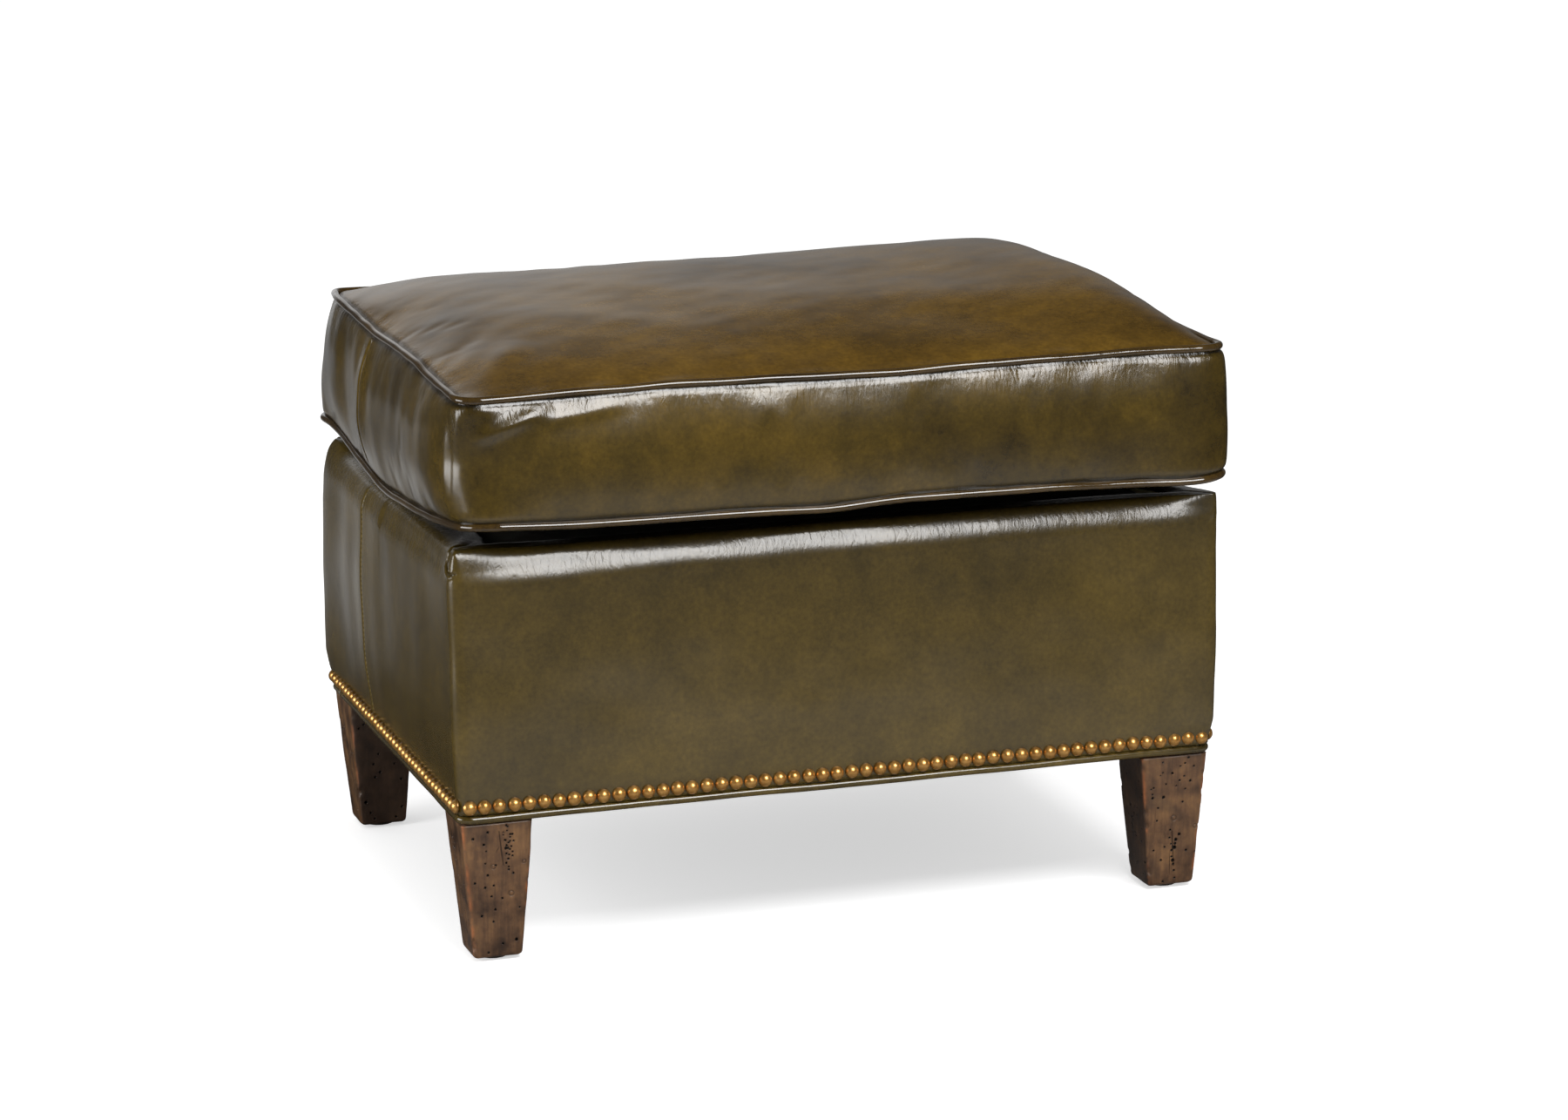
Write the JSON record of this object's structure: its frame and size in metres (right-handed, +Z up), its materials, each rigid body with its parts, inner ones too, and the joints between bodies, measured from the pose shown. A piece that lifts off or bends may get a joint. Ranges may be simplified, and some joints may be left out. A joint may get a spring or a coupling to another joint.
{
  "type": "upholstered footstool",
  "caption": "Rectangular leather footstool with a loose boxed seat cushion, welted edges, a brass nail trim and square tapered wooden legs.",
  "frame": {"origin": "bottom centre of the whole stool, on the floor", "axes": "+X along the long side, +Z up, -Y towards the front"},
  "size_m": [0.6668, 0.5376, 0.5187],
  "materials": {
    "olive_leather": "hand-rubbed gloss",
    "welt_leather": "hand-rubbed gloss",
    "walnut": "distressed satin",
    "frame_wood": "bare",
    "antique_brass": "satin",
    "spring_steel": "satin",
    "foam": "open cell",
    "fibre": "fluffy",
    "burlap": "coarse weave",
    "decking": "plain weave",
    "cambric": "non-woven",
    "nylon": "matt",
    "zipper_tape": "twill"
  },
  "bodies": {
    "base": {"rail_front": "frame_wood", "padding_front": "fibre", "nail_row_front": "antique_brass", "rail_back": "frame_wood", "padding_back": "fibre", "nail_row_back": "antique_brass", "rail_left": "frame_wood", "padding_left": "fibre", "nail_row_left": "antique_brass", "rail_right": "frame_wood", "padding_right": "fibre", "nail_row_right": "antique_brass", "corner_block_front_left": "frame_wood", "leg_front_left": "walnut", "leg_bolt_front_left": "spring_steel", "glide_front_left": "nylon", "corner_block_front_right": "frame_wood", "leg_front_right": "walnut", "leg_bolt_front_right": "spring_steel", "glide_front_right": "nylon", "corner_block_back_left": "frame_wood", "leg_back_left": "walnut", "leg_bolt_back_left": "spring_steel", "glide_back_left": "nylon", "corner_block_back_right": "frame_wood", "leg_back_right": "walnut", "leg_bolt_back_right": "spring_steel", "glide_back_right": "nylon", "spring_1": "spring_steel", "spring_clip_1_front": "spring_steel", "spring_clip_1_back": "spring_steel", "spring_2": "spring_steel", "spring_clip_2_front": "spring_steel", "spring_clip_2_back": "spring_steel", "spring_3": "spring_steel", "spring_clip_3_front": "spring_steel", "spring_clip_3_back": "spring_steel", "spring_4": "spring_steel", "spring_clip_4_front": "spring_steel", "spring_clip_4_back": "spring_steel", "deck_burlap": "burlap", "deck_pad": "foam", "deck_cover": "decking", "edge_roll": "foam", "cover_front_panel": "olive_leather", "cover_rear_panel": "olive_leather", "base_welt": "welt_leather", "dust_cover": "cambric"},
    "cushion": {"cushion_fibre_wrap": "fibre", "cushion_foam_core": "foam", "cushion_top_panel": "olive_leather", "cushion_bottom_panel": "olive_leather", "cushion_band_front": "olive_leather", "cushion_band_rear": "olive_leather", "cushion_welt_bottom": "welt_leather", "cushion_welt_top": "welt_leather", "zipper_half_upper": "zipper_tape", "zipper_half_lower": "zipper_tape"},
    "zipper_slider": {"zipper_slider": "antique_brass"},
    "zipper_pull": {"zipper_pull": "antique_brass"}
  },
  "joints": [
    {"name": "cushion_lift", "type": "slide", "parent": "base", "child": "cushion", "axis": [0, 0, 1], "range_m": [0, 0.15]},
    {"name": "zipper_slide", "type": "slide", "parent": "cushion", "child": "zipper_slider", "axis": [-1, 0, 0], "range_m": [0, 0.52]},
    {"name": "zipper_pull_swing", "type": "hinge", "parent": "zipper_slider", "child": "zipper_pull", "pos_m": [0.26, 0.26665, 0.427], "axis": [0, 0, -1], "range_deg": [0, 180]}
  ]
}
